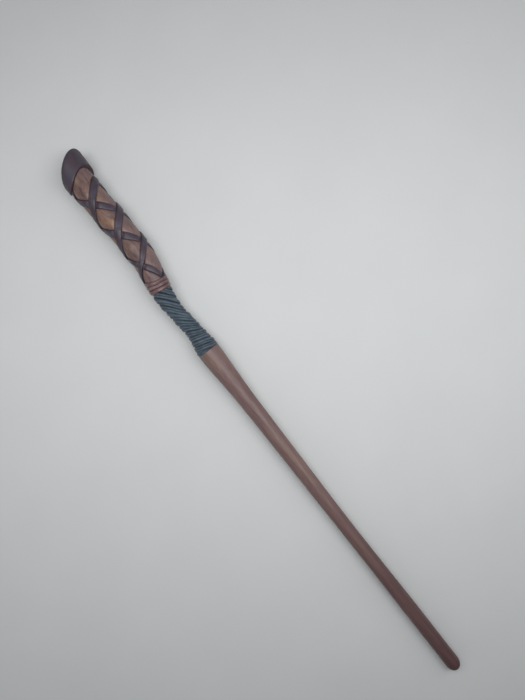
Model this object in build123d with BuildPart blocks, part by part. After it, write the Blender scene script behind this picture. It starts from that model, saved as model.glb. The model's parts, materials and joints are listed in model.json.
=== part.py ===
"""Magic wand: a tapered wooden shaft in a crooked, strapped grip with an oblique pommel cap.

Every piece is built in the wand's own frame: X runs along the shaft's axis towards the tip,
Y is sideways and Z is up. At the end the wand is laid down on z = 0, resting on its cap and tip.
"""
from build123d import *
from math import atan2, cos, degrees, exp, hypot, pi, radians, sin
import os

# ---- overall size ----------------------------------------------------------------------------
tip_end_x = 190.0           # the wand is 378 mm long: its cap's rearmost point is near x = -188
glue_gap = 0.05             # room left between glued faces
box_shift = (-1.5, -2.4)    # brings the middle of the whole wand's box to x = 0, y = 0

# ---- shaft -----------------------------------------------------------------------------------
shoulder_x = -48.4          # where the cord wrap ends and the bare shaft begins
tip_radius = 4.25
taper_height = 0.9          # how much the even taper adds at the shoulder
flare_height = 1.55         # how much the flare adds at the shoulder
flare_length = 25.0
waist_depth = 0.48          # how much slimmer the shaft is at its waist
waist_skew = 0.7            # below 1, the waist lies nearer the tip than the shoulder
waist_sharpness = 4
shaft_station_count = 21
tip_cylinder_length = 24.0  # the straight stretch that a stand or holder grips
tip_dome_length = 5.0
tip_cylinder_end_x = tip_end_x - tip_dome_length
tip_cylinder_start_x = tip_cylinder_end_x - tip_cylinder_length
taper_length = tip_cylinder_start_x - shoulder_x
neck_step_radius = 4.7      # the neck beside the shoulder
neck_radius = 3.2           # the slim part of the neck, and the tenon
neck_slim_x = -78.0
tenon_end_x = -112.0
tenon_hole_depth = 0.5      # empty room past the tenon

# ---- handle ----------------------------------------------------------------------------------
# The handle is crooked. Each pair is an extreme of its sideways swing: x, then y.
crook = [(-188.0, 1.6), (-119.0, 3.5), (-83.0, -1.05), (-60.0, 0.45), (shoulder_x, 0.0)]
core_rear_radius = 8.2      # wood at the pommel cap
core_front_radius = 6.6     # wood just behind the collar
core_station_step = 8.0

# ---- collar: rings on a spigot that follows the crook's slope -----------------------------------
collar_x = -97.2
ring_count = 3
ring_width = 2.4
ring_outer_radius = 6.9
ring_corner_radius = 0.9
spigot_radius = 5.3
spigot_root = 1.0           # how far the spigot starts inside the wood
ring_names = ["collar_ring_rear", "collar_ring_middle", "collar_ring_front"]
collar_half_length = ring_count * ring_width / 2

# ---- pommel cap ------------------------------------------------------------------------------
cap_centre_y = 2.3
cap_radius = 10.3
cap_front_radius = 9.6
cap_edge_radius = 3.6
cap_rim_radius = 0.5
cap_blank_rear_x = -198.0   # the round block, before its two oblique cuts
cap_blank_front_x = -163.0
cap_rear_x = -182.8         # where the oblique end face crosses the cap's axis
cap_rear_slopes = (-0.78, -0.2)    # the end face's x changes by these per millimetre of y and z
cap_front_x = -170.0        # where the oblique joint with the grip crosses the cap's axis
cap_front_slopes = (-0.22, -0.3)
cap_rest_height = 9.7       # from the cap's axis down to the slight flat that it rests on
peg_radius = 2.5
peg_rear_x = -179.0
peg_front_x = -160.0
peg_chamfer = 0.4

# ---- straps ----------------------------------------------------------------------------------
strap_width = 4.2
strap_thickness = 0.9
strap_turn_length = 44.4    # length along the wand of one whole turn
strap_cross_x = -154.0      # an upper crossing lies here
strap_cross_angle = 110.0   # its direction round the grip, in degrees from +Y over the top
strap_sway = 1.2            # the straps run a little steeper beside the upper crossings
strap_step_angle = 15.0     # between one section of a strap and the next
strap_overrun = 8.0         # how far a strap is made past its ends before it is trimmed
strap_meeting_angle = 29.7  # under strap 2 and over strap 1 start here, one above the other
strap_lap = 1.6             # over strap 1 starts this far behind the end that it covers
channel_side_gap = 0.1      # the under straps' channels are this much wider on each side
channel_tool_height = 1.0   # how far the channel cutter stands above the wood

# ---- cord wrap -------------------------------------------------------------------------------
cord_turns = 14
cord_ridge_height = 0.4
cord_outline = [(-93.6, 5.9), (-78.0, 4.8), (-64.0, 4.8), (shoulder_x, 6.3)]
cord_end_gap = 0.1


def between(points, x):
    """Smooth value at x: level at each listed point, with an even rise or fall between them."""
    if x <= points[0][0]:
        return points[0][1]
    for (x0, v0), (x1, v1) in zip(points, points[1:]):
        if x <= x1:
            t = (x - x0) / (x1 - x0)
            return v0 + (v1 - v0) * t * t * (3 - 2 * t)
    return points[-1][1]


def bend(x):
    """Sideways place of the handle's centre line."""
    return between(crook, x)


def shaft_point(along):
    """Outline of the bare shaft, from 0 at the tip's cylinder to 1 at the shoulder.

    It is an even taper with a flare at the shoulder and a slight waist.
    """
    x = tip_cylinder_start_x - taper_length * along
    flare = flare_height * exp(-(((x - shoulder_x) / flare_length) ** 2))
    waist = waist_depth * sin(pi * along**waist_skew) ** waist_sharpness
    return (x, tip_radius + taper_height * along + flare - waist)


def core_radius(x):
    """Outer radius of the grip's wood."""
    t = (x - cap_front_x) / (collar_x - collar_half_length - cap_front_x)
    return core_rear_radius + (core_front_radius - core_rear_radius) * t


def cross_plane(x):
    """Plane across the wand at x, centred on the crooked handle: its x is +Y and its y is +Z."""
    return Plane(origin=(x, bend(x), 0), x_dir=(0, 1, 0), z_dir=(1, 0, 0))


def cap_cross_plane(x):
    """Plane across the cap's own axis at x, with its normal towards the tip."""
    return Plane(origin=(x, cap_centre_y, 0), x_dir=(0, 1, 0), z_dir=(1, 0, 0))


def oblique_plane(x, slopes):
    """Plane that crosses the cap's axis at x and leans by the two slopes."""
    return Plane(origin=(x, cap_centre_y, 0), z_dir=(1, -slopes[0], -slopes[1]))


def strap_x(angle, start, hand):
    """Place along the wand where a strap reaches this angle."""
    turn = (angle - start) / 360.0
    sway = strap_sway * sin(radians(angle - strap_cross_angle))
    return strap_cross_x + hand * (turn * strap_turn_length + sway)


def strap_section(angle, start, hand, low_height, high_height, side_gap=0.0):
    """Ring sector across a strap, between two heights above the wood's surface."""
    x = strap_x(angle, start, hand)
    inner = core_radius(x) + low_height
    outer = core_radius(x) + high_height
    x_per_radian = strap_turn_length / (2 * pi) + strap_sway * cos(radians(angle - strap_cross_angle))
    slant = hypot(1.0, inner / x_per_radian)
    half_angle = degrees((strap_width / 2 + side_gap) * slant / inner)
    with BuildSketch(cross_plane(x)) as section:
        with BuildLine():
            low = CenterArc((0, 0), inner, angle - half_angle, 2 * half_angle)
            high = CenterArc((0, 0), outer, angle - half_angle, 2 * half_angle)
            Line(low @ 0, high @ 0)
            Line(low @ 1, high @ 1)
        make_face()
    return section.sketch


def strap_sections(start, hand, low_height, high_height, side_gap=0.0):
    """Sections of a whole strap, from its meeting point or behind the cap joint to inside the collar."""
    angle = first_angles.get((start, hand), start)
    if angle == start:
        while strap_x(angle, start, hand) > cap_front_x - strap_overrun:
            angle -= hand * strap_step_angle
    angles = [angle]
    while strap_x(angle, start, hand) < collar_x:
        angle += hand * strap_step_angle
        angles.append(angle)
    return [strap_section(angle, start, hand, low_height, high_height, side_gap) for angle in angles]


collar_slope = bend(collar_x + 0.5) - bend(collar_x - 0.5)
collar_plane = Plane(origin=(collar_x, bend(collar_x), 0), x_dir=(0, 0, 1), z_dir=(1, collar_slope, 0))
collar_rear_plane = collar_plane.offset(-collar_half_length)
collar_front_plane = collar_plane.offset(collar_half_length)
cap_rear_plane = oblique_plane(cap_rear_x, cap_rear_slopes)
cap_front_plane = oblique_plane(cap_front_x, cap_front_slopes)
grip_rear_plane = cap_front_plane.offset(glue_gap)
rest_tilt = atan2(cap_rest_height - tip_radius, tip_cylinder_end_x - cap_rear_x)
rest_plane = Plane(origin=(tip_cylinder_end_x, 0, -tip_radius), z_dir=(-sin(rest_tilt), 0, cos(rest_tilt)))
strap_starts = [strap_cross_angle, strap_cross_angle + 180.0]
meeting_x = strap_x(strap_meeting_angle, strap_starts[0], 1)
meeting_over = (strap_starts[0], 1)
meeting_under = (strap_starts[1], -1)
first_angles = {
    meeting_over: strap_meeting_angle - strap_step_angle,
    meeting_under: strap_meeting_angle + 360.0,
}
strap_end_planes = {
    meeting_over: Plane.YZ.offset(meeting_x - strap_lap),
    meeting_under: Plane.YZ.offset(meeting_x + glue_gap),
}
pieces = []


def finish_piece(name, part):
    """Labels a finished piece and keeps it for laying down."""
    part.label = name
    pieces.append(part)


# ---- shaft: turned about its own straight axis -------------------------------------------------
taper_points = [shaft_point(1 - i / shaft_station_count) for i in range(shaft_station_count + 1)]
with BuildPart() as shaft:
    with BuildSketch(Plane.XY):
        with BuildLine():
            Polyline(
                (tenon_end_x, 0),
                (tenon_end_x, neck_radius),
                (neck_slim_x, neck_radius),
                (shoulder_x, neck_step_radius),
                *taper_points,
                (tip_cylinder_end_x, tip_radius),
            )
            EllipticalCenterArc((tip_cylinder_end_x, 0), tip_dome_length, tip_radius, arc_size=90)
            Line((tip_end_x, 0), (tenon_end_x, 0))
        make_face()
    revolve(axis=Axis.X)
finish_piece("shaft", shaft.part)


# ---- grip core: round sections along the crook, a spigot, two bores and the under straps' channels
core_length = collar_x - cap_blank_rear_x
core_station_count = round(core_length / core_station_step)
with BuildPart() as grip_core:
    for i in range(core_station_count + 1):
        x = cap_blank_rear_x + core_length * i / core_station_count
        with BuildSketch(cross_plane(x)):
            Circle(core_radius(x))
    loft()
    split(bisect_by=grip_rear_plane, keep=Keep.TOP)
    split(bisect_by=collar_rear_plane.offset(-glue_gap), keep=Keep.BOTTOM)
    with BuildSketch(collar_rear_plane.offset(-spigot_root)):
        Circle(spigot_radius)
    extrude(amount=spigot_root + 2 * collar_half_length - glue_gap)
    with BuildSketch(Plane.YZ.offset(tenon_end_x - tenon_hole_depth)):
        Circle(neck_radius + glue_gap)
    extrude(amount=collar_x - tenon_end_x + 2 * collar_half_length, mode=Mode.SUBTRACT)
    with BuildSketch(cap_cross_plane(peg_rear_x)):
        Circle(peg_radius + glue_gap)
    extrude(amount=peg_front_x - peg_rear_x + glue_gap, mode=Mode.SUBTRACT)
    channel_floor = -strap_thickness - glue_gap
    for start in strap_starts:
        sections = strap_sections(start, -1, channel_floor, channel_tool_height, channel_side_gap)
        loft(sections, mode=Mode.SUBTRACT)
finish_piece("grip_core", grip_core.part)


# ---- pommel cap: a flared round block cut by two oblique planes ---------------------------------
with BuildPart() as pommel_cap:
    with BuildSketch(cap_cross_plane(cap_blank_rear_x)):
        Circle(cap_radius)
    with BuildSketch(cap_cross_plane(cap_blank_front_x)):
        Circle(cap_front_radius)
    loft()
    split(bisect_by=cap_rear_plane, keep=Keep.TOP)
    split(bisect_by=cap_front_plane, keep=Keep.BOTTOM)
    end_faces = pommel_cap.faces().filter_by(GeomType.PLANE).sort_by(Axis.X)
    fillet(end_faces[0].edges(), radius=cap_edge_radius)
    end_faces = pommel_cap.faces().filter_by(GeomType.PLANE).sort_by(Axis.X)
    fillet(end_faces[-1].edges(), radius=cap_rim_radius)
    split(bisect_by=rest_plane, keep=Keep.TOP)
    with BuildSketch(cap_cross_plane(peg_rear_x - glue_gap)):
        Circle(peg_radius + glue_gap)
    extrude(amount=peg_front_x - peg_rear_x, mode=Mode.SUBTRACT)
finish_piece("pommel_cap", pommel_cap.part)


# ---- pommel peg: a dowel along the cap's axis -----------------------------------------------------
with BuildPart() as pommel_peg:
    with BuildSketch(cap_cross_plane(peg_rear_x)):
        Circle(peg_radius)
    extrude(amount=peg_front_x - peg_rear_x)
    chamfer(pommel_peg.edges().filter_by(GeomType.CIRCLE), length=peg_chamfer)
finish_piece("pommel_peg", pommel_peg.part)


# ---- straps: the under straps lie flush in their channels, and the over straps on the wood ----------
for kind, hand, low_height in (("under_strap", -1, -strap_thickness), ("over_strap", 1, glue_gap)):
    for number, start in enumerate(strap_starts, start=1):
        with BuildPart() as strap:
            loft(strap_sections(start, hand, low_height, low_height + strap_thickness))
            split(bisect_by=grip_rear_plane, keep=Keep.TOP)
            split(bisect_by=collar_rear_plane.offset(-glue_gap), keep=Keep.BOTTOM)
            if (start, hand) in strap_end_planes:
                split(bisect_by=strap_end_planes[start, hand], keep=Keep.TOP)
        finish_piece(f"{kind}_{number}", strap.part)


# ---- collar rings: side by side on the spigot ------------------------------------------------------
ring_bore_radius = spigot_radius + glue_gap
ring_height = ring_outer_radius - ring_bore_radius
for i, name in enumerate(ring_names):
    ring_middle = (i + 0.5) * ring_width - collar_half_length
    with BuildPart() as ring:
        with BuildSketch(collar_plane.offset(ring_middle)) as ring_face:
            Circle(ring_outer_radius)
            Circle(ring_bore_radius, mode=Mode.SUBTRACT)
        extrude(amount=ring_width / 2 - glue_gap / 2, both=True)
        outer_edges = ring.edges().filter_by(GeomType.CIRCLE).sort_by(SortBy.RADIUS)[-2:]
        fillet(outer_edges, radius=ring_corner_radius)
    finish_piece(name, ring.part)


# ---- cord wrap: a ridged sleeve that stands for the closely wound cord -------------------------------
with BuildPart() as cord_wrap:
    wrap_rear_x = collar_front_plane.origin.X
    wrap_length = shoulder_x - cord_end_gap - wrap_rear_x
    with BuildSketch(collar_front_plane.offset(cord_end_gap)):
        Circle(between(cord_outline, wrap_rear_x))
    # A ridge stands between every two grooves, and the turns straighten up halfway along.
    for i in range(1, 2 * cord_turns):
        x = wrap_rear_x + wrap_length * i / (2 * cord_turns)
        turn_slope = collar_slope * max(0.0, 1 - i / cord_turns)
        ridge = cord_ridge_height if i % 2 else 0.0
        with BuildSketch(Plane(origin=(x, bend(x), 0), x_dir=(0, 0, 1), z_dir=(1, turn_slope, 0))):
            Circle(between(cord_outline, x) + ridge)
    with BuildSketch(Plane(origin=(shoulder_x - cord_end_gap, 0, 0), x_dir=(0, 0, 1), z_dir=(1, 0, 0))):
        Circle(between(cord_outline, shoulder_x))
    loft(ruled=True)
    with BuildSketch(Plane.XY):
        with BuildLine():
            Polyline(
                (tenon_end_x, 0),
                (tenon_end_x, neck_radius + glue_gap),
                (neck_slim_x, neck_radius + glue_gap),
                (shoulder_x, neck_step_radius + glue_gap),
                (shoulder_x, 0),
                close=True,
            )
        make_face()
    revolve(axis=Axis.X, mode=Mode.SUBTRACT)
finish_piece("cord_wrap", cord_wrap.part)


# ---- lay the wand down: the flat under the cap and the tip both touch z = 0 ----------------------------
tilted_pieces = [piece.rotate(Axis.Y, degrees(rest_tilt)) for piece in pieces]
lowest = min(piece.bounding_box().min.Z for piece in tilted_pieces)
os.makedirs("parts", exist_ok=True)
for piece, tilted in zip(pieces, tilted_pieces):
    laid = tilted.translate((*box_shift, -lowest))
    laid.label = piece.label
    export_step(laid, f"parts/{piece.label}.step")
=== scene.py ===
"""Magic wand: the final looks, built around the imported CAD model.

Every piece is shaped in the wand's own frame, in millimetres: X runs along the shaft's axis towards
the tip, Y is sideways, and angles round the wand start at +Y and rise over the top. place() then
puts each point in the CAD model's frame, in metres.
"""

import bpy
import json
from math import atan2, cos, exp, hypot, pi, radians, sin, sqrt
from mathutils import Matrix, Vector, noise


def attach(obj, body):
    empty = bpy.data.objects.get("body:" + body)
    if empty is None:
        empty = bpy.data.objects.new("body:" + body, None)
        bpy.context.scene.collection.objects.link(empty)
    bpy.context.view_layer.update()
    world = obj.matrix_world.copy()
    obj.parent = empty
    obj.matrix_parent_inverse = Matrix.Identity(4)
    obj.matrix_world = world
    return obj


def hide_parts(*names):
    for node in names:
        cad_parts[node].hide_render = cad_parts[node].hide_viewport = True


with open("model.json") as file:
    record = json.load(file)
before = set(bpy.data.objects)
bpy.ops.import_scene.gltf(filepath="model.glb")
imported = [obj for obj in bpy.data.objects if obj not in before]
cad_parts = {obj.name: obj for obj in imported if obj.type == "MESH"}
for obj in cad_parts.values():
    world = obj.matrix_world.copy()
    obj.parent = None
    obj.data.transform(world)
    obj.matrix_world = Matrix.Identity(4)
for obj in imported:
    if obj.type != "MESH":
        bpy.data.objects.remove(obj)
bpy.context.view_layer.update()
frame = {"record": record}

# ---- the wand's own frame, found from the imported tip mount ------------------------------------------
MM = 0.001
tip_mount = next(mount for mount in frame["record"]["mounts"] if mount["name"] == "tip")
tip_mount_x = 173.0                     # the mount's place along the wand
tip_radius = tip_mount["dims"]["r_mm"]
wand_x = Vector(tip_mount["axis"]).normalized()
wand_y = Vector((0, 1, 0))
wand_z = wand_x.cross(wand_y)
wand_origin = Vector(tip_mount["pos_m"]) - wand_x * tip_mount_x * MM
turn = Matrix((wand_x, wand_y, wand_z)).transposed().to_4x4()
wand_matrix = Matrix.Translation(wand_origin) @ turn @ Matrix.Scale(MM, 4)

# ---- driving sizes, most of them as in the CAD model ------------------------------------------------
tip_end_x = 190.0
tip_dome_length = 5.0
tip_cylinder_end_x = tip_end_x - tip_dome_length
tip_cylinder_start_x = tip_cylinder_end_x - tip_mount["dims"]["length_mm"]
shoulder_x = -48.4
taper_length = tip_cylinder_start_x - shoulder_x
neck_step_radius = 4.7
neck_radius = 3.2
neck_slim_x = -78.0
tenon_end_x = -112.0

crook = [(-188.0, 1.6), (-119.0, 3.5), (-83.0, -1.05), (-60.0, 0.45), (shoulder_x, 0.0)]
collar_x = -97.2
collar_rear_x = collar_x - 3.6
under_collar = 0.6                      # the straps and the grip's wood end here, below the collar
core_rear_radius = 8.2
core_front_radius = 6.6

cap_centre_y = 2.3
cap_rear = (-182.5, -0.74, -0.2)        # oblique end: its x on the cap's axis, then its two slopes
cap_front = (-171.3, -0.30, -0.05)     # oblique joint with the grip
cap_front_twist = 3.0                   # the joint's edge runs back and forth by this much

strap_widths = [(-128.0, 4.2), (-110.0, 3.1)]
strap_turn_length = 44.4
strap_cross_x = -154.0
strap_cross_angle = radians(110)
strap_x_per_radian = strap_turn_length / (2 * pi)
OVER, UNDER = 1, -1                     # right-handed over straps and left-handed under straps
strap_sway = {OVER: 1.5, UNDER: 0.8}
end_sway_start_x = -116.0
meeting_turns = {OVER: radians(-94.0), UNDER: radians(99.3)}    # over strap 1 and under strap 2
meeting_x = {OVER: -167.0, UNDER: -165.4}                       # start here, one above the other


def between(points, x):
    """Smooth value at x: level at each listed point, with an even rise or fall between them."""
    if x <= points[0][0]:
        return points[0][1]
    for (x0, v0), (x1, v1) in zip(points, points[1:]):
        if x <= x1:
            t = (x - x0) / (x1 - x0)
            return v0 + (v1 - v0) * t * t * (3 - 2 * t)
    return points[-1][1]


def smooth(t):
    """Smooth step from 0 to 1."""
    t = min(max(t, 0.0), 1.0)
    return t * t * (3 - 2 * t)


def rounded(t):
    """Quarter round from 0 to 1: steep at first, then level."""
    t = min(max(t, 0.0), 1.0)
    return sqrt(t * (2 - t))


def rough(x, y, z, size, seed=0.0):
    """Smooth random value from about -1 to 1 that changes over this size, in millimetres."""
    return noise.noise(Vector((x / size + seed, y / size, z / size)))


def bend(x):
    """Sideways place of the handle's centre line."""
    return between(crook, x)


collar_slope = bend(collar_x + 0.5) - bend(collar_x - 0.5)


def on_handle(x, angle, radius):
    """Point round the crooked handle."""
    return (x, bend(x) + radius * cos(angle), radius * sin(angle))


def collar_edge_x(angle, radius, offset):
    """Place along the wand of a plane square to the crooked neck, offset from the collar's middle."""
    return collar_x + offset - collar_slope * radius * cos(angle)


def collar_width(angle):
    """Width of each of the collar's rings: they are widest low on the -Y side."""
    return 2.47 - 0.30 * cos(angle) - 0.27 * sin(angle)


def collar_lean(angle):
    """How far forward the rings lie in this direction: most on top."""
    return 0.28 * cos(angle) + 2.1 * sin(angle)


def collar_side_x(angle, radius, side):
    """Place along the wand of the collar's rear (-1) or front (1) edge."""
    return collar_edge_x(angle, radius, 1.5 * side * collar_width(angle) + collar_lean(angle))


# ---- mesh building ----------------------------------------------------------------------------------
def place(point):
    """Point of the wand's own frame, in the CAD model's frame."""
    return wand_matrix @ Vector(point)


def sheet_faces(row_count, column_count, first=0, close_rows=False):
    """Quads between neighbouring rings of points, all of them closed rings."""
    faces = []
    for i in range(row_count if close_rows else row_count - 1):
        a = first + i * column_count
        b = first + (i + 1) % row_count * column_count
        for j in range(column_count):
            k = (j + 1) % column_count
            faces.append((a + j, a + k, b + k, b + j))
    return faces


def add_object(name, points, faces, material):
    """Smooth mesh object with its points placed in the CAD model's frame."""
    mesh = bpy.data.meshes.new(name)
    mesh.from_pydata([place(point) for point in points], [], faces)
    mesh.validate()
    mesh.shade_smooth()
    mesh.materials.append(material)
    piece = bpy.data.objects.new(name, mesh)
    bpy.context.collection.objects.link(piece)
    return piece


def ring_faces(rings, first=0):
    """Quads between the rings, and a fan over each end."""
    count = len(rings[0])
    faces = sheet_faces(len(rings), count, first)
    faces.append(tuple(first + j for j in reversed(range(count))))
    last = first + (len(rings) - 1) * count
    faces.append(tuple(last + j for j in range(count)))
    return faces


def tube_object(name, tubes, material):
    """One object of closed tubes, each a list of rings of points."""
    points, faces = [], []
    for rings in tubes:
        faces += ring_faces(rings, len(points))
        points += [point for ring in rings for point in ring]
    return add_object(name, points, faces, material)


def add_values(piece, name, values):
    """Keeps one number for each point of the mesh, for its material to read."""
    attribute = piece.data.attributes.new(name, "FLOAT", "POINT")
    attribute.data.foreach_set("value", values)


def add_flow(piece, flow):
    """Keeps each point's place along and across the piece, in millimetres, for its material."""
    attribute = piece.data.attributes.new("flow", "FLOAT_VECTOR", "POINT")
    attribute.data.foreach_set("vector", [value for point in flow for value in point])


def finish_piece(piece, slot, *nodes):
    """Hides the CAD nodes that a piece stands for, and lets it ride on the one body."""
    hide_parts(*nodes)
    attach(piece, "root")


# ---- material building ------------------------------------------------------------------------------
def new_material(name, **sockets):
    """Material with a Principled shader and its fixed values; returns it with its node tree."""
    material = bpy.data.materials.new(name)
    material.use_nodes = True
    tree = material.node_tree
    shader = tree.nodes["Principled BSDF"]
    for socket, value in sockets.items():
        shader.inputs[socket.replace("_", " ")].default_value = value
    return material, tree, shader


def add_node(tree, kind, settings=None, **links):
    """Node of this kind; each link is a number, a tuple or another node's output socket."""
    node = tree.nodes.new(kind)
    for key, value in (settings or {}).items():
        setattr(node, key, value)
    for key, value in links.items():
        socket = node.inputs[int(key[1:])] if key[1:].isdigit() else node.inputs[key]
        if isinstance(value, bpy.types.NodeSocket):
            tree.links.new(value, socket)
        else:
            socket.default_value = value
    return node


def stretched(tree, source, scale, seed=0.0):
    """Coordinates multiplied by scale, so that a texture made for millimetres runs along them."""
    node = add_node(tree, "ShaderNodeMapping", _0=source, Scale=scale, Location=(seed, seed, seed))
    return node.outputs[0]


def noise_at(tree, where, scale, detail=4.0, distortion=0.0, roughness=0.55):
    """Value of a noise texture."""
    node = add_node(tree, "ShaderNodeTexNoise", Vector=where, Scale=scale, Detail=detail,
                    Distortion=distortion, Roughness=roughness)
    return node.outputs[0]


def ramp(tree, value, *stops):
    """Colour ramp; each stop is a place and a colour of three numbers, or one grey number."""
    node = add_node(tree, "ShaderNodeValToRGB", Fac=value)
    elements = node.color_ramp.elements
    while len(elements) < len(stops):
        elements.new(0.5)
    for element, (at, colour) in zip(elements, stops):
        element.position = at
        rgb = colour if isinstance(colour, tuple) else (colour,) * 3
        element.color = (*rgb, 1.0)
    return node.outputs[0]


def mixed(tree, share, first, second, blend="MIX"):
    """Mix of two colours."""
    node = add_node(tree, "ShaderNodeMix", {"data_type": "RGBA", "blend_type": blend})
    for socket, value in ((node.inputs[0], share), (node.inputs[6], first), (node.inputs[7], second)):
        if isinstance(value, bpy.types.NodeSocket):
            tree.links.new(value, socket)
        elif isinstance(value, tuple):
            socket.default_value = (*value, 1.0)
        else:
            socket.default_value = value
    return node.outputs[2]


def bumped(tree, height, distance_mm, strength=1.0, normal=None):
    """Normal from a height that varies from 0 to 1 over this distance."""
    node = add_node(tree, "ShaderNodeBump", Height=height, Strength=strength, Distance=distance_mm * MM)
    if normal is not None:
        tree.links.new(normal, node.inputs["Normal"])
    return node.outputs[0]


def wand_coordinates(tree):
    """Object coordinates in millimetres."""
    coordinates = add_node(tree, "ShaderNodeTexCoord").outputs["Object"]
    return stretched(tree, coordinates, (1000, 1000, 1000))


def attribute_value(tree, name, output="Fac"):
    """Numbers that a mesh keeps at its points."""
    return add_node(tree, "ShaderNodeAttribute", {"attribute_name": name}).outputs[output]


def shaft_material():
    """Satin, pinkish brown wood with fine grain along the shaft; it darkens towards the tip, partly a
    darker stain and partly painted shade where the light falls off.
    """
    material, tree, shader = new_material("shaft wood", Coat_Weight=0.12, Coat_Roughness=0.35)
    where = wand_coordinates(tree)
    broad = noise_at(tree, stretched(tree, where, (0.012, 0.22, 0.22)), 1.0, 3.0, 0.4)
    fine = noise_at(tree, stretched(tree, where, (0.06, 2.2, 2.2), 7.0), 1.0, 6.0, 0.2, 0.65)
    pores = noise_at(tree, stretched(tree, where, (0.25, 6.0, 6.0), 3.0), 1.0, 2.0)
    colour = ramp(tree, broad, (0.30, (0.155, 0.090, 0.086)), (0.55, (0.210, 0.126, 0.117)),
                  (0.75, (0.240, 0.150, 0.134)))
    tan = ramp(tree, noise_at(tree, stretched(tree, where, (0.02, 0.13, 0.13), 11.0), 1.0, 2.0, 0.6),
               (0.50, 0.0), (0.68, 0.45))
    colour = mixed(tree, tan, colour, (0.238, 0.150, 0.116))
    along = add_node(tree, "ShaderNodeSeparateXYZ", Vector=where).outputs[0]
    # darker towards the tip: partly the wood's darker stain, partly painted shade where the light falls
    # off
    far = add_node(tree, "ShaderNodeMapRange", Value=along, _1=40.0, _2=185.0).outputs[0]
    colour = mixed(tree, far, colour, mixed(tree, 1.0, colour, (0.56, 0.44, 0.51), "MULTIPLY"))
    end = add_node(tree, "ShaderNodeMapRange", Value=along, _1=184.0, _2=188.5).outputs[0]
    colour = mixed(tree, end, colour, mixed(tree, 1.0, colour, (0.55, 0.50, 0.55), "MULTIPLY"))
    grain = ramp(tree, fine, (0.35, 0.66), (0.6, 1.0), (0.8, 1.14))
    colour = mixed(tree, 1.0, colour, grain, "MULTIPLY")
    dark = ramp(tree, pores, (0.30, 0.72), (0.42, 1.0))
    tree.links.new(mixed(tree, 1.0, colour, dark, "MULTIPLY"), shader.inputs["Base Color"])
    tree.links.new(ramp(tree, fine, (0.3, 0.52), (0.8, 0.38)), shader.inputs["Roughness"])
    coarse_normal = bumped(tree, fine, 0.10, 0.6)
    tree.links.new(bumped(tree, pores, 0.05, 0.5, coarse_normal), shader.inputs["Normal"])
    return material


def grip_material():
    """Reddish brown wood with tan flashes and dark figure, with painted shade beside the straps."""
    material, tree, shader = new_material("grip wood", Coat_Weight=0.15, Coat_Roughness=0.3)
    where = wand_coordinates(tree)
    leaned = add_node(tree, "ShaderNodeMapping", _0=where, Rotation=(0.0, 0.0, radians(24)),
                      Scale=(0.11, 0.42, 0.42)).outputs[0]
    figure = noise_at(tree, leaned, 1.0, 4.0, 1.1, 0.6)
    patches = noise_at(tree, stretched(tree, where, (0.075, 0.12, 0.12), 4.3), 1.0, 2.0, 0.5)
    fine = noise_at(tree, stretched(tree, where, (0.22, 2.4, 2.4), 1.7), 1.0, 5.0, 0.3, 0.6)
    warm = ramp(tree, patches, (0.32, (0.125, 0.078, 0.076)), (0.50, (0.175, 0.108, 0.094)),
                (0.66, (0.255, 0.150, 0.094)))
    streaks = ramp(tree, figure, (0.30, (0.56, 0.47, 0.49)), (0.46, (0.94, 0.90, 0.90)),
                   (0.62, (1.10, 1.06, 1.0)), (0.74, (0.80, 0.68, 0.66)))
    along = add_node(tree, "ShaderNodeSeparateXYZ", Vector=where).outputs[0]
    near_collar = add_node(tree, "ShaderNodeMapRange", Value=along, _1=-117.0, _2=-105.0).outputs[0]
    warm = mixed(tree, near_collar, warm, mixed(tree, 0.75, warm, (0.150, 0.094, 0.098)))
    side = attribute_value(tree, "side")
    side = add_node(tree, "ShaderNodeMapRange", Value=side, _1=0.15, _2=0.6).outputs[0]
    warm = mixed(tree, side, warm, mixed(tree, 0.7, warm, (0.195, 0.132, 0.134)))
    colour = mixed(tree, 1.0, warm, streaks, "MULTIPLY")
    colour = mixed(tree, 1.0, colour, ramp(tree, fine, (0.3, 0.74), (0.62, 1.06)), "MULTIPLY")
    # painted shade: the wood darkens where it sinks to the straps' bed
    painted_shade_by_straps = ramp(tree, attribute_value(tree, "height"), (0.0, 0.60), (0.35, 0.92), (0.8, 1.0))
    colour = mixed(tree, 1.0, colour, painted_shade_by_straps, "MULTIPLY")
    tree.links.new(colour, shader.inputs["Base Color"])
    tree.links.new(ramp(tree, fine, (0.3, 0.55), (0.75, 0.40)), shader.inputs["Roughness"])
    normal = bumped(tree, figure, 0.25, 0.5)
    tree.links.new(bumped(tree, fine, 0.10, 0.6, normal), shader.inputs["Normal"])
    return material


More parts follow.
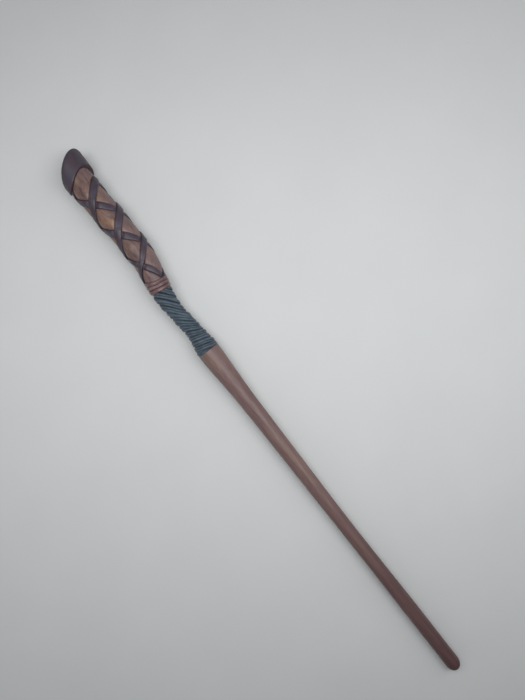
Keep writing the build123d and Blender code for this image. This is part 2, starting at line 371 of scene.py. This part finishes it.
def strap_material():
    """Dark leather strap, with a fine grain and creases across it, painted shade on its low edges and a
    painted highlight on its crown.
    """
    material, tree, shader = new_material("strap leather", Coat_Weight=0.12, Coat_Roughness=0.36)
    where = wand_coordinates(tree)
    flow = attribute_value(tree, "flow", "Vector")
    patches = noise_at(tree, stretched(tree, where, (0.16, 0.16, 0.16), 2.0), 1.0, 3.0, 0.3)
    along = noise_at(tree, stretched(tree, flow, (0.09, 1.5, 1.0), 5.0), 1.0, 4.0, 0.3)
    grain = add_node(tree, "ShaderNodeTexVoronoi", Vector=stretched(tree, where, (3.2, 3.2, 3.2)),
                     Scale=1.0).outputs[0]
    colour = ramp(tree, patches, (0.30, (0.041, 0.024, 0.034)), (0.52, (0.047, 0.034, 0.049)),
                  (0.72, (0.051, 0.046, 0.073)))
    colour = mixed(tree, 1.0, colour, ramp(tree, along, (0.3, 0.75), (0.7, 1.25)), "MULTIPLY")
    # painted shade on the strap's low edges and a painted highlight along its crown
    painted_strap_shade_and_highlight = ramp(tree, attribute_value(tree, "height"), (0.0, 0.70), (0.6, 1.0), (1.0, 1.18))
    colour = mixed(tree, 1.0, colour, painted_strap_shade_and_highlight, "MULTIPLY")
    tree.links.new(colour, shader.inputs["Base Color"])
    tree.links.new(ramp(tree, along, (0.3, 0.50), (0.7, 0.36)), shader.inputs["Roughness"])
    normal = bumped(tree, grain, 0.06, 0.6)
    tree.links.new(bumped(tree, along, 0.16, 0.6, normal), shader.inputs["Normal"])
    return material


def collar_material():
    """Reddish brown thong with fibres along it, painted shade in its grooves and crease and a painted
    highlight along its crowns.
    """
    material, tree, shader = new_material("collar thong", Coat_Weight=0.2, Coat_Roughness=0.3)
    flow = attribute_value(tree, "flow", "Vector")
    where = wand_coordinates(tree)
    fibres = noise_at(tree, stretched(tree, flow, (0.12, 2.6, 1.0)), 1.0, 5.0, 0.2, 0.6)
    patches = noise_at(tree, stretched(tree, where, (0.3, 0.25, 0.25), 9.0), 1.0, 3.0, 0.4)
    colour = ramp(tree, patches, (0.32, (0.120, 0.058, 0.064)), (0.52, (0.172, 0.100, 0.103)),
                  (0.70, (0.215, 0.144, 0.146)))
    colour = mixed(tree, 1.0, colour, ramp(tree, fibres, (0.3, 0.70), (0.65, 1.10)), "MULTIPLY")
    # painted shade in the grooves and the crease, and a painted highlight on the crowns
    groove = ramp(tree, attribute_value(tree, "height"), (0.35, 0.22), (0.75, 0.70), (0.97, 1.22))
    colour = mixed(tree, 1.0, colour, groove, "MULTIPLY")
    tree.links.new(colour, shader.inputs["Base Color"])
    tree.links.new(ramp(tree, fibres, (0.3, 0.5), (0.7, 0.36)), shader.inputs["Roughness"])
    tree.links.new(bumped(tree, fibres, 0.12, 0.6), shader.inputs["Normal"])
    return material


def cord_material():
    """Waxed, blue-grey cord with slanting fibres, painted shade in the gaps between its turns and plies
    and a painted highlight on its ridges.
    """
    material, tree, shader = new_material("waxed cord", Sheen_Weight=0.15, Sheen_Roughness=0.4)
    flow = attribute_value(tree, "flow", "Vector")
    where = wand_coordinates(tree)
    slanted = add_node(tree, "ShaderNodeMapping", _0=flow, Rotation=(0.0, 0.0, radians(38))).outputs[0]
    yarn = add_node(tree, "ShaderNodeTexWave", Vector=slanted, Scale=0.55, Distortion=1.2,
                    Detail=2.0).outputs["Fac"]
    fibres = noise_at(tree, stretched(tree, slanted, (4.0, 0.4, 1.0)), 1.0, 4.0, 0.2)
    patches = noise_at(tree, stretched(tree, where, (0.2, 0.3, 0.3), 6.0), 1.0, 3.0, 0.4)
    colour = ramp(tree, patches, (0.30, (0.038, 0.054, 0.080)), (0.50, (0.049, 0.076, 0.104)),
                  (0.70, (0.064, 0.096, 0.122)))
    colour = mixed(tree, 1.0, colour, ramp(tree, fibres, (0.3, 0.75), (0.7, 1.2)), "MULTIPLY")
    # painted shade in the gaps and a painted highlight on the ridges
    painted_ridge_light_and_gap_shade = ramp(tree, attribute_value(tree, "height"), (0.0, 0.24), (0.45, 0.80), (0.95, 1.40))
    colour = mixed(tree, 1.0, colour, painted_ridge_light_and_gap_shade, "MULTIPLY")
    tree.links.new(colour, shader.inputs["Base Color"])
    tree.links.new(ramp(tree, fibres, (0.3, 0.62), (0.7, 0.46)), shader.inputs["Roughness"])
    normal = bumped(tree, yarn, 0.10, 0.5)
    tree.links.new(bumped(tree, fibres, 0.08, 0.6, normal), shader.inputs["Normal"])
    return material


def pommel_material():
    """Dark stained, smooth cap with a faint bloom, and a darker, redder band at its front rim: the
    joint's reddish tone with painted shade over it.
    """
    material, tree, shader = new_material("pommel stain", Coat_Weight=0.06, Coat_Roughness=0.4)
    where = wand_coordinates(tree)
    patches = noise_at(tree, stretched(tree, where, (0.10, 0.16, 0.16), 8.0), 1.0, 4.0, 0.5)
    fine = noise_at(tree, stretched(tree, where, (1.2, 3.0, 3.0), 2.5), 1.0, 4.0)
    colour = ramp(tree, patches, (0.30, (0.060, 0.036, 0.047)), (0.50, (0.060, 0.044, 0.062)),
                  (0.72, (0.058, 0.052, 0.076)))
    colour = mixed(tree, 1.0, colour, ramp(tree, fine, (0.3, 0.86), (0.7, 1.08)), "MULTIPLY")
    # painted shade along the front rim, over the joint's own reddish tone
    rim_tone_and_painted_shade = ramp(tree, attribute_value(tree, "height"), (0.0, (0.62, 0.42, 0.40)), (1.0, (1.0, 1.0, 1.0)))
    tree.links.new(mixed(tree, 1.0, colour, rim_tone_and_painted_shade, "MULTIPLY"), shader.inputs["Base Color"])
    tree.links.new(ramp(tree, patches, (0.3, 0.56), (0.7, 0.46)), shader.inputs["Roughness"])
    tree.links.new(bumped(tree, fine, 0.05, 0.5), shader.inputs["Normal"])
    return material


def peg_material():
    """Plain pale dowel, hidden inside the grip and the cap."""
    material, tree, shader = new_material("peg wood")
    where = wand_coordinates(tree)
    fine = noise_at(tree, stretched(tree, where, (0.15, 3.0, 3.0)), 1.0, 4.0)
    colour = ramp(tree, fine, (0.3, (0.36, 0.23, 0.13)), (0.7, (0.56, 0.40, 0.25)))
    tree.links.new(colour, shader.inputs["Base Color"])
    tree.links.new(ramp(tree, fine, (0.3, 0.75), (0.7, 0.6)), shader.inputs["Roughness"])
    return material


def floor_material():
    """Plain pale cloth-like paper."""
    material, tree, shader = new_material("pale floor", Roughness=0.95, Specular_IOR_Level=0.1)
    where = wand_coordinates(tree)
    mottle = noise_at(tree, stretched(tree, where, (0.02, 0.02, 0.02)), 1.0, 3.0)
    tree.links.new(ramp(tree, mottle, (0.3, (0.640, 0.652, 0.655)), (0.7, (0.660, 0.672, 0.675))),
                   shader.inputs["Base Color"])
    return material


# ---- straps: where they run -------------------------------------------------------------------------
def end_sway(x, angle, hand):
    """Near the collar, the over straps lean back on the -Y side and forward on the other."""
    return 2.8 * cos(angle) * smooth((x - end_sway_start_x) / 10) if hand == OVER else 0.0


def strap_x(angle, start, hand):
    """Place along the wand where a strap reaches this angle."""
    sway = strap_sway[hand] * sin(angle - strap_cross_angle)
    x = strap_cross_x + hand * ((angle - start) * strap_x_per_radian + sway)
    return x + end_sway(x, angle, hand)


def slant(hand, angle, radius):
    """Length along the wand that a strap gains for each millimetre round it."""
    gain = strap_x_per_radian + strap_sway[hand] * cos(angle - strap_cross_angle)
    return hand * gain / radius


def strap_distance(x, angle, radius, hand):
    """Distance across the surface from the nearest strap of this hand; negative on the strap."""
    half_turn = strap_turn_length / 2
    turned = angle - strap_cross_angle
    nearby = turned * strap_x_per_radian + strap_sway[hand] * sin(turned)
    past = x - end_sway(x, angle, hand) - strap_cross_x - hand * nearby
    number = round(past / half_turn)
    distance = abs(past - number * half_turn) / hypot(1.0, slant(hand, angle, radius))
    if number % 2 == (hand == UNDER):
        distance += 5.0 * smooth((meeting_x[hand] - x) / 1.8)    # no strap behind the meeting point
    return distance - between(strap_widths, x) / 2


collar_tuck = (1.1, 7.0)     # depth and length of the dip towards the collar
collar_sink = (1.0, 0.3, 1.5)   # one step more, below the collar: depth, start and length
cap_tuck = (0.6, 6.0)        # depth and length of the dip towards the cap
side_hollow = (0.6, -157.0, 8.0)   # depth, place and length of a hollow on the +Y side
panel_height = 0.85          # how far the carved panels stand above the straps' bed, on top
panel_side_drop = 0.35       # and how much less at the wand's sides
panel_swell = 0.15           # more on the side that the handle bows out to, and less on the other
panel_shoulders = {OVER: 1.8, UNDER: 4.4}   # a panel rises to its height over these widths
under_dip = 0.55             # how far an under strap sinks where another strap crosses it
strap_thickness = 0.85
strap_edge = 0.55            # radius of a strap's rounded edges
strap_under_cap = 3.3        # how far a strap goes in under the cap
joint_centre_y = -0.3        # about where the handle's centre is at the joint, from the cap's


def joint_twist(angle):
    """How far the edge of the cap's joint departs from its plane, in this direction."""
    return -cap_front_twist * sin(angle) * cos(angle)


def joint_x(angle, radius):
    """Where the grip meets the cap's oblique joint, in this direction."""
    y, z = radius * cos(angle) + joint_centre_y, radius * sin(angle)
    return cap_front[0] + cap_front[1] * y + cap_front[2] * z + joint_twist(angle)


def core_radius(x, angle):
    """Radius of the wood below the straps; it dips beside the cap and under the collar."""
    rear_x = cap_front[0]
    t = (x - rear_x) / (collar_rear_x - rear_x)
    dip = collar_tuck[0] * exp(-(((x - collar_x) / collar_tuck[1]) ** 2))
    dip += cap_tuck[0] * exp(-(((x - joint_x(angle, core_rear_radius)) / cap_tuck[1]) ** 2))
    dip += side_hollow[0] * exp(-(((x - side_hollow[1]) / side_hollow[2]) ** 2)) * max(cos(angle), 0.0)
    behind = collar_side_x(angle, core_front_radius, -1) + collar_sink[1]
    dip += collar_sink[0] * smooth((x - behind) / collar_sink[2])
    return core_rear_radius + (core_front_radius - core_rear_radius) * t - dip


def crossing(x, angle, hand):
    """1 where a strap of the other hand crosses here, falling to 0 beside it."""
    return 1 - smooth(strap_distance(x, angle, core_radius(x, angle), -hand) / 2.2)


def under_floor(x, angle):
    """Height of the bed under an under strap."""
    return -0.15 - under_dip * crossing(x, angle, UNDER)


def panel_rise(x, angle):
    """Height of the wood above the straps' bed, and how far up its panel that is, from 0 to 1."""
    radius = core_radius(x, angle)
    gap, share = 0.0, 1.0
    for hand in (OVER, UNDER):
        gap = strap_distance(x, angle, radius, hand)
        share *= rounded((gap + 0.25) / panel_shoulders[hand])
    height = (panel_height - panel_side_drop * cos(angle) ** 2 + panel_swell * cos(angle)) * share
    if gap < 0:
        height = under_floor(x, angle) * smooth(-gap / 0.3)
    return height, share


# ---- grip core --------------------------------------------------------------------------------------
def make_grip():
    """Wood of the grip, with its panels standing up between the straps."""
    columns, rows = 320, 300
    rings, heights, sides = [], [], []
    for i in range(rows + 1):
        ring = []
        for j in range(columns):
            angle = 2 * pi * j / columns
            first_x = joint_x(angle, core_rear_radius)
            last_x = collar_edge_x(angle, core_front_radius, under_collar)
            x = first_x + (last_x - first_x) * i / rows
            rise, share = panel_rise(x, angle)
            radius = core_radius(x, angle) + rise
            point = on_handle(x, angle, radius)
            carve = 0.10 * rough(x, point[1] * 2.2, point[2] * 2.2, 3.4) * share
            ring.append(on_handle(x, angle, radius + carve))
            # how far up its panel the point stands; the material paints shade from it low down beside
            # the straps
            heights.append(share)
            sides.append(cos(angle))
        rings.append(ring)
    piece = tube_object("carved_grip", [rings], grip_material())
    add_values(piece, "height", heights)
    add_values(piece, "side", sides)
    finish_piece(piece, "grip_wood", "grip_core")


# ---- straps -----------------------------------------------------------------------------------------
def strap_profile():
    """Half-round edged band, as (across, up) pairs: across from -1 to 1 and up from 0 to 1."""
    pairs = []
    half = strap_widths[0][1] / 2
    for k in range(9):
        angle = pi * k / 16
        pairs.append((1 - strap_edge / half * (1 - cos(angle)), 0.35 + 0.65 * sin(angle)))
    for k in range(1, 8):
        across = (1 - strap_edge / half) * (1 - k / 4)
        pairs.append((across, 1.0))
    for k in range(8, -1, -1):
        angle = pi * k / 16
        pairs.append((-1 + strap_edge / half * (1 - cos(angle)), 0.35 + 0.65 * sin(angle)))
    for k in range(9):
        pairs.append((-0.96 + 1.92 * k / 8, 0.0))
    return pairs


def strap_ring(angle, start, hand, profile, seed):
    """One section across a strap, with each point's flow and height for the material."""
    x = strap_x(angle, start, hand)
    radius = core_radius(x, angle)
    lean = slant(hand, angle, radius)
    step_x = 1 / hypot(1.0, lean)
    step_angle = -lean * step_x / radius
    if hand == OVER:
        lift = 0.05 + 0.22 * crossing(x, angle, hand) + 0.15 * max(cos(angle), 0.0)
    else:
        lift = 0.05 + under_floor(x, angle)
    width = between(strap_widths, x) / 2 * (1 + 0.05 * rough(angle * 4, seed, 0, 1.0))
    along = angle * radius
    ring, flow, heights = [], [], []
    for across, up in profile:
        crown = 0.16 * (1 - across * across) * up
        wave = 0.05 * rough(along, across * 3 + seed, 0, 2.0) * up
        height = lift + strap_thickness * up + crown + wave
        offset = across * width
        ring.append(on_handle(x + offset * step_x, angle + offset * step_angle, radius + height))
        flow.append((along, offset, seed))
        # how high the point stands on the strap; the material paints shade and a highlight from it
        heights.append(up * (1 - 0.5 * across**4))
    return ring, flow, heights


def strap_reach(start, hand):
    """Angles of a strap, from inside the cap or from its meeting point to under the collar."""
    step = radians(2.0)
    angle = start
    if (start > pi) == (hand == UNDER):
        angle += meeting_turns[hand]
    else:
        while strap_x(angle, start, hand) > joint_x(angle, core_rear_radius) - strap_under_cap:
            angle -= hand * step
    angles = [angle]
    while strap_x(angle, start, hand) < collar_edge_x(angle, core_front_radius, under_collar):
        angle += hand * step
        angles.append(angle)
    return angles


def make_strap(kind, hand, number, material):
    """One leather strap, wound round the grip."""
    start = strap_cross_angle + pi * (number - 1)
    profile = strap_profile()
    rings, flow, heights = [], [], []
    for angle in strap_reach(start, hand):
        ring, ring_flow, ring_heights = strap_ring(angle, start, hand, profile, number + 3 * hand)
        rings.append(ring)
        flow += ring_flow
        heights += ring_heights
    piece = tube_object(f"leather_{kind}_{number}", [rings], material)
    add_flow(piece, flow)
    add_values(piece, "height", heights)
    finish_piece(piece, "strap", f"{kind}_{number}")


# ---- collar -----------------------------------------------------------------------------------------
ring_bore = 5.35
ring_radii = {"rear": 7.1, "middle": 7.15, "front": 6.85}


def make_collar_ring(name, index, material):
    """Crowned thong round the neck, with a wandering crease along it."""
    columns, section = 180, 40
    rings, flow, heights = [], [], []
    for j in range(columns):
        angle = 2 * pi * j / columns
        width = collar_width(angle)
        offset = (index - 1) * width + collar_lean(angle)
        wander = 0.38 * rough(cos(angle) * 3, sin(angle) * 3, index * 5.0, 1.4)
        half = width / 2 + 0.12
        outer = ring_radii[name] + 0.12 * rough(cos(angle) * 4, sin(angle) * 4, index * 9.0, 2.0)
        crease_at = 0.35 * sin(angle + index * 2.0)
        crease_at += 0.2 * rough(cos(angle) * 3, sin(angle) * 3, index, 1.5)
        crease_depth = 0.22 + 0.18 * sin(2 * angle + index)
        ring = []
        for k in range(section):
            turn_angle = 2 * pi * k / section
            across = cos(turn_angle)
            up = max(sin(turn_angle), 0.0) ** 0.62
            radius = ring_bore + (outer - ring_bore) * (0.25 + 0.75 * up)
            if sin(turn_angle) < 0:
                radius = ring_bore + (outer - ring_bore) * 0.25 * (1 + sin(turn_angle))
            x = collar_edge_x(angle, radius, offset + wander + half * across)
            crease = exp(-(((across - crease_at) / 0.17) ** 2))
            fine = (0.05 * rough(across * 5, angle * 4, index, 1.0) - crease_depth * crease) * up
            ring.append(on_handle(x, angle, radius + fine))
            flow.append((angle * ring_radii[name], across * half, index))
            # how high the point stands, less in the crease; the material paints shade and a highlight
            # from it
            heights.append(up * (1 - 1.2 * crease_depth * crease))
        rings.append(ring)
    points = [point for ring in rings for point in ring]
    faces = sheet_faces(columns, section, close_rows=True)
    piece = add_object(f"thong_ring_{name}", points, faces, material)
    add_flow(piece, flow)
    add_values(piece, "height", heights)
    finish_piece(piece, "collar", f"collar_ring_{name}")


# ---- cord wrap --------------------------------------------------------------------------------------
cord_sides = 36              # points round the cord's section
cord_half_width = 1.62
cord_half_height = 1.2
cord_groove = (0.36, 0.24)   # the groove between the plies: its depth as a share, its width in radians
cord_outline = [(-93.6, 5.9), (-78.0, 4.8), (-64.0, 4.8), (shoulder_x, 6.55)]
cord_ridge = 0.5
# how far each turn swings along the wand between its two sides, by the place of its middle
cord_swing = [(-78.0, 5.2), (-59.0, 1.4), (-54.0, 1.3)]
cord_start_angle = radians(20)          # the cord starts low, tucked under its own first turn
cord_rise = (radians(80), radians(165)) # and comes up to its full height between these angles
cord_tuck = 1.5
cord_start = 1.3             # the first turn's middle would lie this far past the shoulder, if it could
cord_overrun = 7.0           # the last turn's middle lies this far behind the collar's
cord_under_collar = 2.6      # the cord goes this far in under the collar
cord_sink = 1.2              # and sinks this much there
cord_wander = 0.45           # how unevenly the turns lie along the neck
cord_bulge = 0.22            # and how unevenly they stand out from it


def cord_radius(x):
    """Distance of the cord's middle from the neck's centre line."""
    return between(cord_outline, x) + cord_ridge - cord_half_height


def cord_path():
    """Sections of the cord from the shoulder to under the collar: x, angle, radius, turn spacing."""
    step = radians(4)
    middle_x = shoulder_x + cord_start
    angle = cord_start_angle
    path = []
    while middle_x > collar_x - cord_overrun:
        swing = between(cord_swing, middle_x)
        wander = cord_wander * rough(angle, middle_x, 0.0, 2.3)
        x = min(middle_x + swing * cos(angle) + wander, shoulder_x - 0.85 * cord_half_width)
        risen = smooth((angle - cord_rise[0]) / (cord_rise[1] - cord_rise[0]))
        spacing = 2 * 0.98 * cord_half_width * hypot(1.0, 1.1 * swing / cord_radius(middle_x))
        bulge = cord_bulge * rough(angle, middle_x, 7.0, 1.7)
        spread = 1 + (swing - between(cord_swing, middle_x - 1.0)) * cos(angle)    # room on this side
        sunk = cord_sink * smooth((collar_side_x(angle, ring_radii["front"], 1) - x) / 1.6)
        radius = cord_radius(x) + bulge - cord_tuck * (1 - risen) - sunk
        path.append((x, angle, radius, spacing * spread))
        middle_x -= spacing * step / (2 * pi)
        angle += step
    return path


def cord_ring(before, here, after, length, spacing):
    """One section across the cord: a flattened round with a groove between its two plies.

    It is as wide as the space between its neighbours, which changes with its slant.
    """
    tangent = (Vector(after) - Vector(before)).normalized()
    x, y, z = here
    outward = Vector((0.0, y - bend(x), z)).normalized()
    across = tangent.cross(outward).normalized()
    outward = across.cross(tangent)
    half_width = 0.515 * spacing * sqrt(1 - tangent.x * tangent.x)
    groove_at = pi / 2 + 0.25 * sin(length / 9.0) + 0.25 * rough(length, 0, 0, 6.0)
    ring, heights = [], []
    for k in range(cord_sides):
        angle = 2 * pi * k / cord_sides
        groove = exp(-(((angle - groove_at) / cord_groove[1]) ** 2))
        size = 1 - cord_groove[0] * groove
        side = half_width * cos(angle) * size
        up = cord_half_height * sin(angle) * size
        point = Vector(here) + across * side + outward * up
        ring.append(tuple(point))
        # how high the point stands, none in the ply groove; the material paints shade and a highlight
        # from it
        heights.append(max(sin(angle), 0.0) ** 1.5 * (1 - groove))
    return ring, heights


def make_cord(material):
    """Cord wound round the neck, from the shoulder to under the collar."""
    path = cord_path()
    spots = [on_handle(x, angle, radius) for x, angle, radius, _ in path]
    tubes, tube, flow, heights, length = [], [], [], [], 0.0
    for i in range(1, len(path) - 1):
        x, angle, _, spacing = path[i]
        length += (Vector(spots[i]) - Vector(spots[i - 1])).length
        if x > collar_side_x(angle, ring_radii["front"], 1) - cord_under_collar:
            ring, ring_heights = cord_ring(spots[i - 1], spots[i], spots[i + 1], length, spacing)
            tube.append(ring)
            for k in range(cord_sides):
                flow.append((length, cord_half_width * cos(2 * pi * k / cord_sides), 0.0))
            heights += ring_heights
        elif tube:
            tubes.append(tube)
            tube = []
    if tube:
        tubes.append(tube)
    piece = tube_object("wound_cord", tubes, material)
    add_flow(piece, flow)
    add_values(piece, "height", heights)
    finish_piece(piece, "cord", "cord_wrap")


# ---- pommel cap -------------------------------------------------------------------------------------
cap_radius_middle = 9.93
cap_flare = 0.02             # radius gained for each millimetre towards the rear
cap_middle_x = -176.5
rear_round = (4.15, -1.64)   # lower is rounder: its mean, and how it changes towards +Y
front_round = 22.0


def cap_distance(direction):
    """Distance from the cap's middle to its surface: the nearest wall, with the edges rounded."""
    around = hypot(direction.y, direction.z)
    wall = max((around + cap_flare * direction.x) / cap_radius_middle, 0.0)
    twist = joint_twist(atan2(direction.z, direction.y))
    rear, front = (
        max((direction.x - slope_y * direction.y - slope_z * direction.z) / (x - cap_middle_x), 0.0)
        for x, slope_y, slope_z in (cap_rear, (cap_front[0] + twist, *cap_front[1:]))
    )
    power = rear_round[0] + rear_round[1] * direction.y
    blended = (wall**power + rear**power) ** (1 / power)
    blended = (blended**front_round + front**front_round) ** (1 / front_round)
    return 1 / blended, front / blended


def make_cap():
    """Dark cap on the rear end, flat where it rests on the floor."""
    columns, rows = 220, 160
    points, rim_tone_and_shade_mask = [], []
    for i in range(1, rows):
        polar = pi * i / rows
        for j in range(columns):
            angle = 2 * pi * j / columns
            direction = Vector((-cos(polar), sin(polar) * cos(angle), sin(polar) * sin(angle)))
            distance, forward = cap_distance(direction)
            spot = Vector((cap_middle_x, cap_centre_y, 0)) + direction * distance
            spot += direction * 0.10 * rough(spot.x, spot.y, spot.z, 7.0)
            spot.z += max(0.0, -place(spot).z / MM)
            points.append(tuple(spot))
            # 1 away from the front rim, falling to 0 at it: where the rim's tone and painted shade go
            rim_tone_and_shade_mask.append(1 - smooth((forward - 0.82) / 0.16))
    faces = ring_faces([points[i * columns:(i + 1) * columns] for i in range(rows - 1)])
    piece = add_object("stained_cap", points, faces, pommel_material())
    add_values(piece, "height", rim_tone_and_shade_mask)
    finish_piece(piece, "pommel", "pommel_cap")


# ---- shaft ------------------------------------------------------------------------------------------
taper_height = 0.9           # how much the even taper adds at the shoulder
flare_height = 1.55          # how much the flare adds at the shoulder
flare_length = 25.0
waist_depth = 0.48           # how much slimmer the shaft is at its waist
shoulder_edge = 0.45         # radius of the shoulder's rounded edge
shaft_bow = (-0.3, 70.0, 60.0)   # how far the shaft bows sideways, where, and over what length


def shaft_radius(x):
    """Radius of the bare shaft: an even taper with a flare at the shoulder and a slight waist."""
    along = max(0.0, (tip_cylinder_start_x - x) / taper_length)
    flare = flare_height * exp(-(((x - shoulder_x) / flare_length) ** 2))
    waist = waist_depth * sin(pi * along**0.7) ** 4
    return tip_radius + taper_height * along + flare - waist


def shaft_outline():
    """Points of the shaft's outline from the tenon's end to the tip."""
    outline = [(tenon_end_x, 0.6), (tenon_end_x, neck_radius), (neck_slim_x, neck_radius)]
    outline.append((shoulder_x, neck_step_radius))
    edge = shoulder_edge
    for k in range(6):
        angle = pi / 2 * k / 5
        radius = shaft_radius(shoulder_x) - edge * (1 - sin(angle))
        outline.append((shoulder_x + edge * (1 - cos(angle)), radius))
    body_steps = 170
    for k in range(1, body_steps + 1):
        x = shoulder_x + edge + (tip_cylinder_end_x - shoulder_x - edge) * k / body_steps
        outline.append((x, shaft_radius(x)))
    for k in range(1, 24):
        angle = pi / 2 * k / 24
        x = tip_cylinder_end_x + tip_dome_length * sin(angle)
        outline.append((x, tip_radius * cos(angle) ** 0.9))
    return outline


def make_shaft():
    """Shaft with its shoulder, and the neck and tenon that the handle is built on."""
    columns = 128
    rings = []
    for x, radius in shaft_outline():
        ring = []
        bow = shaft_bow[0] * exp(-(((x - shaft_bow[1]) / shaft_bow[2]) ** 2))
        for j in range(columns):
            angle = 2 * pi * j / columns
            y, z = cos(angle), sin(angle)
            hand_sanded = 0.05 * rough(x * 0.12, y * 2, z * 2, 1.5, 4.0) if x > shoulder_x + 1 else 0.0
            reach = radius + hand_sanded
            ring.append((x, bow + reach * y, reach * z))
        rings.append(ring)
    piece = tube_object("turned_shaft", [rings], shaft_material())
    finish_piece(piece, "shaft_wood", "shaft")


# ---- pieces -----------------------------------------------------------------------------------------
make_shaft()
make_grip()
make_cap()
leather = strap_material()
for strap_kind, strap_hand in (("under_strap", UNDER), ("over_strap", OVER)):
    for strap_number in (1, 2):
        make_strap(strap_kind, strap_hand, strap_number, leather)
thong = collar_material()
for ring_index, ring_name in enumerate(("rear", "middle", "front")):
    make_collar_ring(ring_name, ring_index, thong)
make_cord(cord_material())
peg = bpy.data.objects["pommel_peg"]
peg.data.materials.clear()
peg.data.materials.append(peg_material())


# ---- floor, lights and camera -----------------------------------------------------------------------
camera_over = (-29.3, 25.1, 0.0)        # the camera stands over this point of the wand's frame
camera_height = 0.3151                  # in metres
image_turn = 52.0                       # degrees from the world's X axis to the image's


def make_floor():
    """Plain floor for the picture only."""
    half = 2.5
    mesh = bpy.data.meshes.new("floor")
    corners = [(-half, -half, 0), (half, -half, 0), (half, half, 0), (-half, half, 0)]
    mesh.from_pydata(corners, [], [(0, 1, 2, 3)])
    mesh.materials.append(floor_material())
    floor = bpy.data.objects.new("floor", mesh)
    bpy.context.collection.objects.link(floor)


def make_light(name, place_at, look_at, sizes, watts, turn_degrees=0.0):
    """Soft light that shines at a point, turned about the direction that it shines in."""
    lamp = bpy.data.lights.new(name, "AREA")
    lamp.shape = "RECTANGLE"
    lamp.size, lamp.size_y = sizes
    lamp.energy = watts
    light = bpy.data.objects.new(name, lamp)
    toward = (Vector(look_at) - Vector(place_at)).to_track_quat("-Z", "Y").to_matrix().to_4x4()
    turned = Matrix.Rotation(radians(turn_degrees), 4, "Z")
    light.matrix_world = Matrix.Translation(place_at) @ toward @ turned
    light.visible_camera = False
    bpy.context.collection.objects.link(light)


def make_world(grey):
    """Even light from all round."""
    world = bpy.data.worlds.new("studio")
    world.use_nodes = True
    world.node_tree.nodes["Background"].inputs["Color"].default_value = (*grey, 1)
    world.node_tree.nodes["Background"].inputs["Strength"].default_value = 1.0
    bpy.context.scene.world = world


def make_camera():
    """Straight down over the wand, turned so that the wand points to the lower right."""
    data = bpy.data.cameras.new("camera")
    data.lens = 27.0
    data.sensor_width = 36.0
    camera = bpy.data.objects.new("camera", data)
    over = place(camera_over)
    camera.location = (over.x, over.y, camera_height)
    camera.rotation_euler = (0.0, 0.0, radians(image_turn))
    bpy.context.collection.objects.link(camera)
    bpy.context.scene.camera = camera


make_floor()
make_camera()
make_light("strip", (-0.049, 0.058, 0.31), (-0.049, 0.058, 0.0), (0.50, 0.16), 0.98, image_turn)
make_light("side", (0.02, 0.60, 0.40), (0.0, 0.0, 0.0), (0.40, 0.40), 0.56)
make_light("fill", (0.0, -0.55, 0.35), (0.0, 0.0, 0.0), (0.40, 0.40), 0.3)
make_world((0.176, 0.180, 0.185))
bpy.context.scene.view_settings.view_transform = "Standard"
